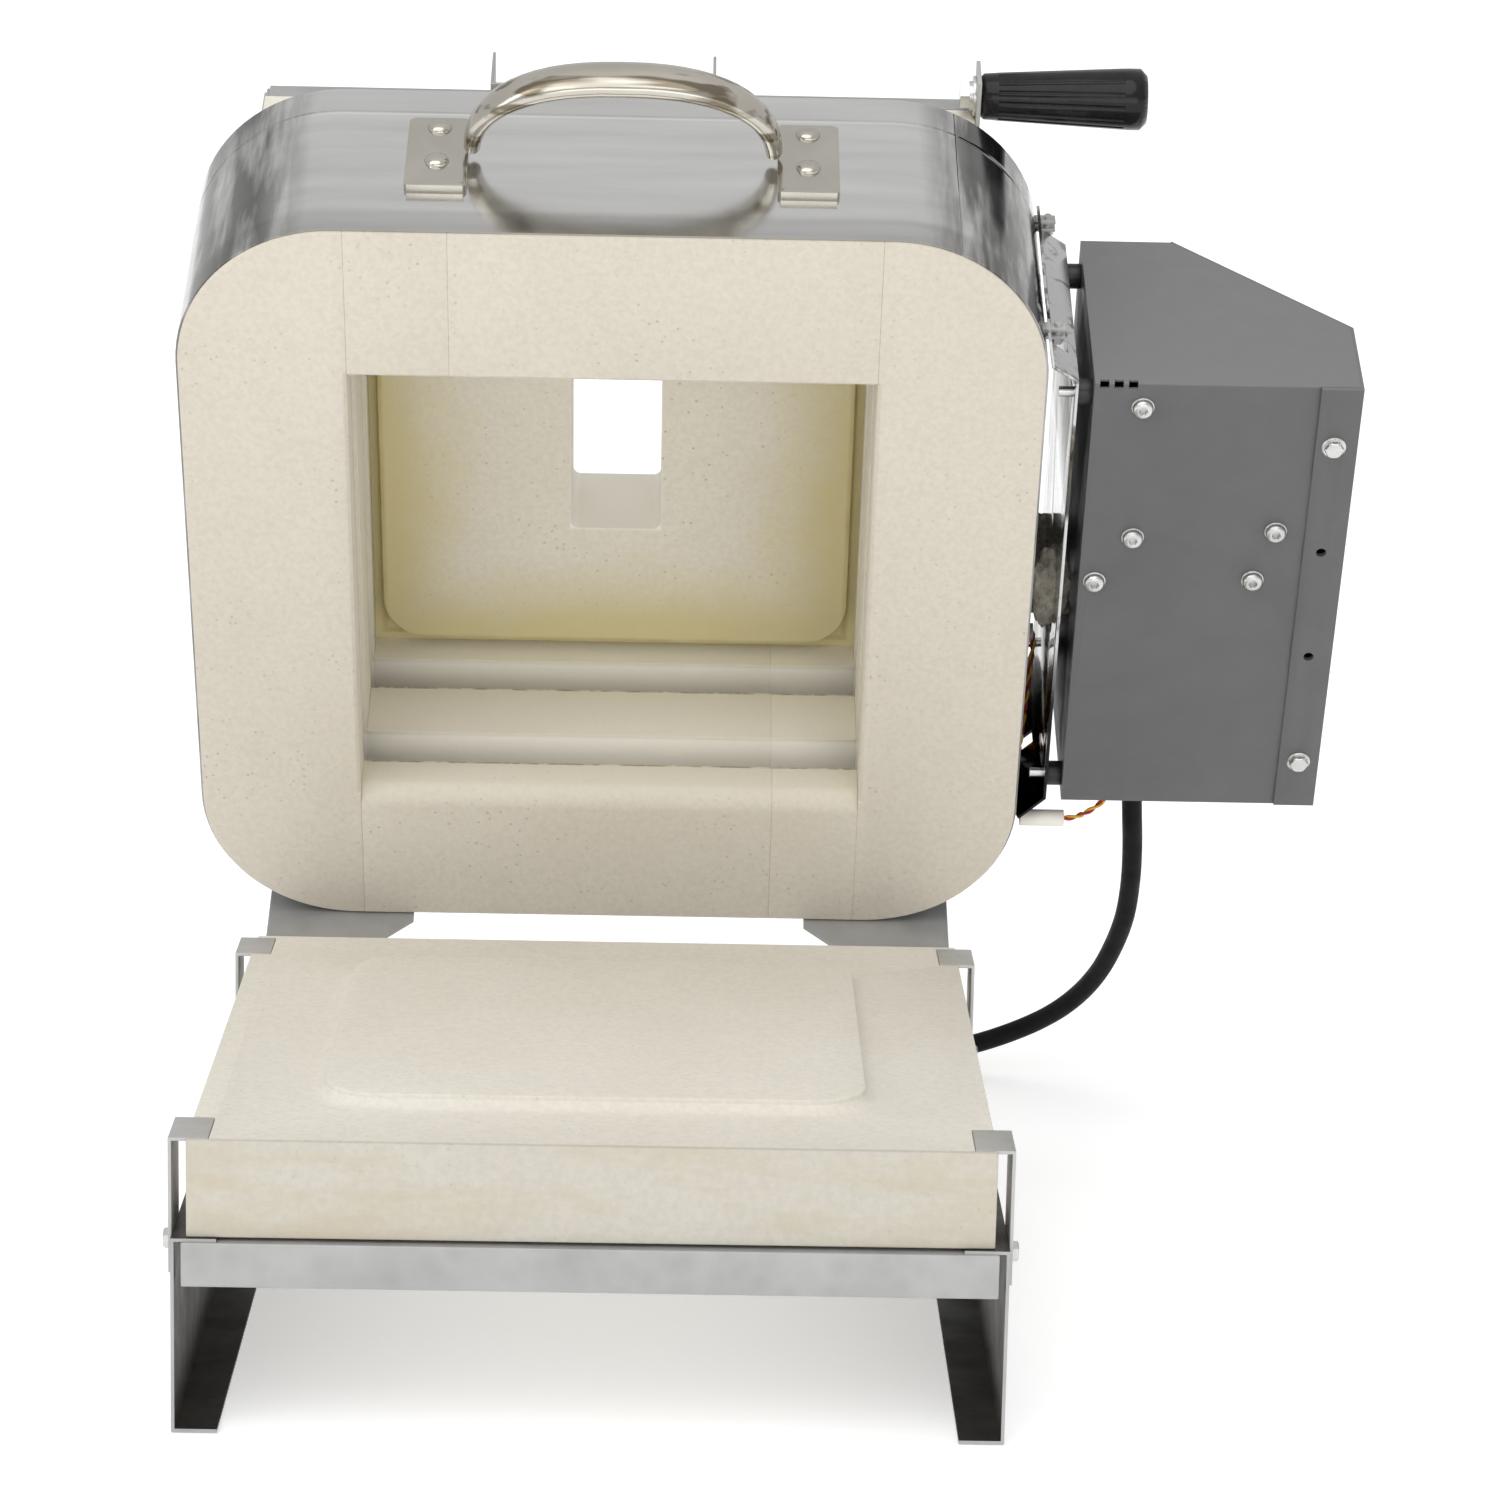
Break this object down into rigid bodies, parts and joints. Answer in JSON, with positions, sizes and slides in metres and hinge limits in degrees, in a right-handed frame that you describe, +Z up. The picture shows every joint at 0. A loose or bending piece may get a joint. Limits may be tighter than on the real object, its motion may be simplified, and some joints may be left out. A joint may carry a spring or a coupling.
{
  "type": "kiln",
  "caption": "Small bench-top electric kiln: a jacketed firebrick bell with a side control box, hinged behind a floor slab on a low steel stand.",
  "frame": {"origin": "on the surface the stand rests on, under the middle of the whole open kiln with its cord left out", "axes": "+Z up, +X to the right seen from the front, the open mouth and the front of the stand face -Y"},
  "size_m": [0.4552, 0.4938, 0.4634],
  "materials": {
    "stand": "satin, dark inside",
    "rail": "plated sheet, dull",
    "zinc": "bright zinc plate",
    "dark_steel": "black oxide",
    "stainless": "mirror-polished stainless sheet",
    "nickel": "polished nickel plate",
    "firebrick": "soft insulating firebrick, matt and speckled",
    "fired_brick": "soft insulating firebrick, yellowed by firing",
    "cement": "refractory cement",
    "ceramic": "unglazed ceramic",
    "element": "oxidised resistance wire",
    "lead_wire": "insulated thermocouple wire",
    "cord": "black flexible cord",
    "plug": "moulded black rubber",
    "bakelite": "black phenolic, fluted",
    "grey_paint": "mid-grey powder coat",
    "relay_case": "moulded plastic",
    "board": "printed board",
    "bezel": "moulded plastic",
    "switch": "black rocker",
    "key": "grey key caps"
  },
  "bodies": {
    "stand": {"side_frame_left": "stand", "side_frame_right": "stand", "front_rail": "rail", "rear_rail": "rail", "base_slab": "firebrick", "base_clips": "zinc", "base_bolts": "zinc", "hinge_lug_left": "zinc", "hinge_lug_right": "zinc", "hinge_pins": "zinc", "power_cord": "cord", "cord_coil": "cord", "power_plug": "plug"},
    "bell": {"brick_left": "firebrick", "brick_right": "firebrick", "brick_top_short": "firebrick", "brick_top_long": "firebrick", "brick_bottom_long": "firebrick", "brick_bottom_short": "firebrick", "element_front": "element", "element_rear": "element", "jacket": "stainless", "jacket_clamps": "zinc", "vent_slab": "fired_brick", "vent_side_rails": "rail", "vent_end_rails": "rail", "vent_clips": "zinc", "tie_brackets": "zinc", "vent_channel": "rail", "hinge_arm_left": "zinc", "hinge_arm_right": "zinc", "bell_screws": "zinc", "carry_handle": "nickel", "handle_plate_left": "nickel", "handle_plate_right": "nickel", "handle_rivets": "nickel", "grip_bracket": "zinc", "lift_grip": "bakelite", "grip_bolt": "zinc", "baffle": "stainless", "baffle_spacers": "dark_steel", "baffle_screws": "zinc", "lead_bushings": "cement", "thermocouple": "ceramic", "thermocouple_sleeve": "ceramic", "thermocouple_leads": "lead_wire", "box_shell": "grey_paint", "box_cover": "grey_paint", "panel_screws": "zinc", "cover_screws": "zinc", "cord_gland": "plug", "power_relay": "relay_case", "terminal_block": "ceramic", "controller": "board", "controller_bezel": "bezel"},
    "rocker": {"power_switch": "switch"},
    "up_key": {"key_up": "key"},
    "down_key": {"key_down": "key"},
    "start_key": {"key_start": "key"}
  },
  "joints": [
    {"name": "bell_hinge", "type": "hinge", "parent": "stand", "child": "bell", "pos_m": [-0.0586, 0.08016, 0.0848], "axis": [1, 0, 0], "range_deg": [0, 64]},
    {"name": "rocker_tilt", "type": "hinge", "parent": "bell", "child": "rocker", "pos_m": [0.19075, 0.10763, 0.2322], "axis": [0.7427, -0.6018, -0.2935], "range_deg": [-16, 0]},
    {"name": "up_key_press", "type": "slide", "parent": "bell", "child": "up_key", "axis": [-0.6696, -0.6676, -0.3256], "range_m": [0, 0.0012], "stiffness_N_per_m": 300},
    {"name": "down_key_press", "type": "slide", "parent": "bell", "child": "down_key", "axis": [-0.6696, -0.6676, -0.3256], "range_m": [0, 0.0012], "stiffness_N_per_m": 300},
    {"name": "start_key_press", "type": "slide", "parent": "bell", "child": "start_key", "axis": [-0.6696, -0.6676, -0.3256], "range_m": [0, 0.0012], "stiffness_N_per_m": 300}
  ]
}
